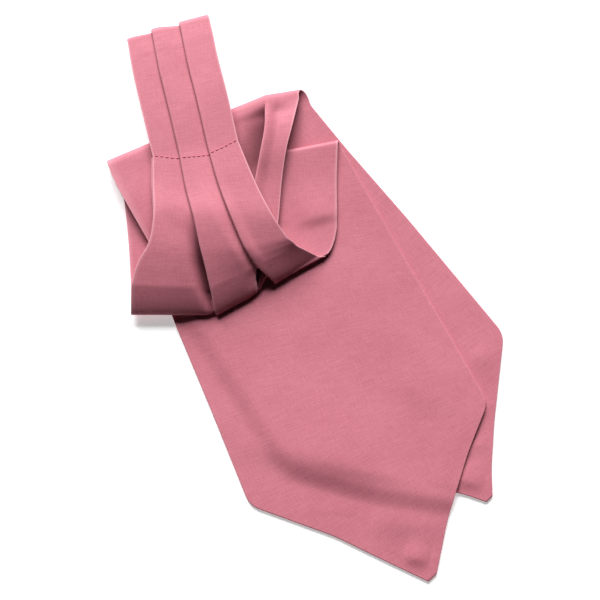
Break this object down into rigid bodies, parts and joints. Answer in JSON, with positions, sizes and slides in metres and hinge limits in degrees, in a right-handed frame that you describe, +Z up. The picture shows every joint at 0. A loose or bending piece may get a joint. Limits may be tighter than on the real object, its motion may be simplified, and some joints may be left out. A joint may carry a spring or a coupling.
{
  "type": "ascot tie",
  "caption": "Pre-pleated ascot tie in plain satin, folded in half with its pleated neckband turned back over the two pointed blades and laid flat.",
  "frame": {"origin": "centre of the bounding box at the underside, on the surface that the folded tie lies on", "axes": "+Z up from the surface it rests on; +Y from the blades' tips towards the neckband's centre back fold"},
  "size_m": [0.2322, 0.3423, 0.0199],
  "materials": {
    "rose_satin": "soft satin weave with a low sheen"
  },
  "bodies": {
    "root": {"back_blade": "rose_satin", "front_blade": "rose_satin", "front_return": "rose_satin", "back_return": "rose_satin", "front_fan": "rose_satin", "neckband": "rose_satin", "hidden_layers": "rose_satin"}
  },
  "joints": []
}
